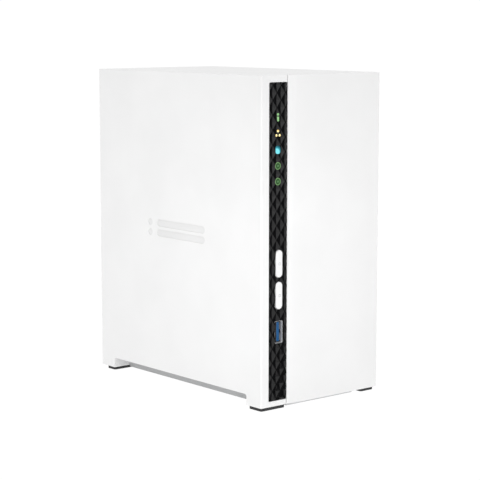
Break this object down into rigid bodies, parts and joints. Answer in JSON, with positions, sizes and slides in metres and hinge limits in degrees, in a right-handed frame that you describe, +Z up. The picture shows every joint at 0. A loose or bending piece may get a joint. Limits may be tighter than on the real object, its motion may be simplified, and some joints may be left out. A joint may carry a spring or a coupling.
{
  "type": "network attached storage",
  "caption": "Compact white desktop storage unit with a dark control strip, drives side by side under a slide-off cover, and a fan at the back.",
  "frame": {"origin": "middle of the footprint, on the surface that the feet stand on", "axes": "+X to the right seen from the front, -Y out of the front, +Z up"},
  "size_m": [0.0902, 0.1562, 0.1886],
  "materials": {
    "white_plastic": "white moulded plastic with a fine satin texture",
    "dark_strip": "black plastic moulded with a fine relief of lozenges",
    "grey_plastic": "light grey moulded plastic",
    "white_metal": "white powder coat, fine texture",
    "pad_rubber": "dark rubber, dull",
    "black_plastic": "black moulded plastic",
    "green_light": "clear moulding lit green from behind",
    "amber_light": "clear moulding lit amber from behind",
    "blue_light": "clear moulding lit blue from behind",
    "port_steel": "plated sheet steel",
    "sheet_steel": "galvanised sheet steel",
    "screw_steel": "zinc-plated screw steel",
    "blue_plastic": "blue moulded plastic",
    "circuit_board": "green solder mask over glass fibre",
    "cast_aluminium": "cast and machined aluminium"
  },
  "bodies": {
    "chassis": {"left_shell": "white_plastic", "fan_plug": "white_plastic", "bezel_strip": "dark_strip", "base_tray": "grey_plastic", "rear_panel": "white_metal", "front_left_foot": "pad_rubber", "rear_left_foot": "pad_rubber", "power_switch": "black_plastic", "copy_switch": "black_plastic", "rear_usb_a_tongue": "black_plastic", "rear_usb_b_tongue": "black_plastic", "power_inlet": "black_plastic", "reset_switch": "black_plastic", "memory_chip_a": "black_plastic", "memory_chip_b": "black_plastic", "drive_1_socket": "black_plastic", "drive_2_socket": "black_plastic", "drive_1_carrier": "black_plastic", "drive_2_carrier": "black_plastic", "fan_frame": "black_plastic", "fan_lead": "black_plastic", "status_light_guide": "green_light", "drive_1_light_guide": "green_light", "drive_2_light_guide": "green_light", "network_light_guide": "amber_light", "usb_light_guide": "blue_light", "front_usb_shell": "port_steel", "rear_usb_a_shell": "port_steel", "rear_usb_b_shell": "port_steel", "network_jack": "port_steel", "power_inlet_pin": "port_steel", "clock_battery": "port_steel", "drive_cage": "sheet_steel", "drive_1_lid": "sheet_steel", "drive_2_lid": "sheet_steel", "fan_screw_upper_left": "screw_steel", "fan_screw_upper_right": "screw_steel", "fan_screw_lower_left": "screw_steel", "fan_screw_lower_right": "screw_steel", "cover_screw_upper": "screw_steel", "cover_screw_lower": "screw_steel", "front_usb_tongue": "blue_plastic", "main_board": "circuit_board", "backplane_board": "circuit_board", "drive_1_board": "circuit_board", "drive_2_board": "circuit_board", "heat_sink": "cast_aluminium", "drive_1_body": "cast_aluminium", "drive_2_body": "cast_aluminium"},
    "cover": {"right_cover": "white_plastic", "front_right_foot": "pad_rubber", "rear_right_foot": "pad_rubber"},
    "power_button": {"power_button": "white_plastic"},
    "copy_button": {"copy_button": "white_plastic"},
    "reset_button": {"reset_button": "black_plastic"},
    "fan_rotor": {"fan_rotor": "black_plastic"}
  },
  "joints": [
    {"name": "power_press", "type": "slide", "parent": "chassis", "child": "power_button", "axis": [0, 1, 0], "range_m": [0, 0.0006], "stiffness_N_per_m": 400, "springref_m": -0.0015},
    {"name": "copy_press", "type": "slide", "parent": "chassis", "child": "copy_button", "axis": [0, 1, 0], "range_m": [0, 0.0006], "stiffness_N_per_m": 400, "springref_m": -0.0015},
    {"name": "reset_press", "type": "slide", "parent": "chassis", "child": "reset_button", "axis": [0, -1, 0], "range_m": [0, 0.0004], "stiffness_N_per_m": 400, "springref_m": -0.0015},
    {"name": "fan_spin", "type": "hinge", "parent": "chassis", "child": "fan_rotor", "pos_m": [0.00841, 0.061, 0.118], "axis": [0, 1, 0], "continuous": true},
    {"name": "cover_slide", "type": "slide", "parent": "chassis", "child": "cover", "axis": [0, -1, 0], "range_m": [0, 0.16]}
  ]
}
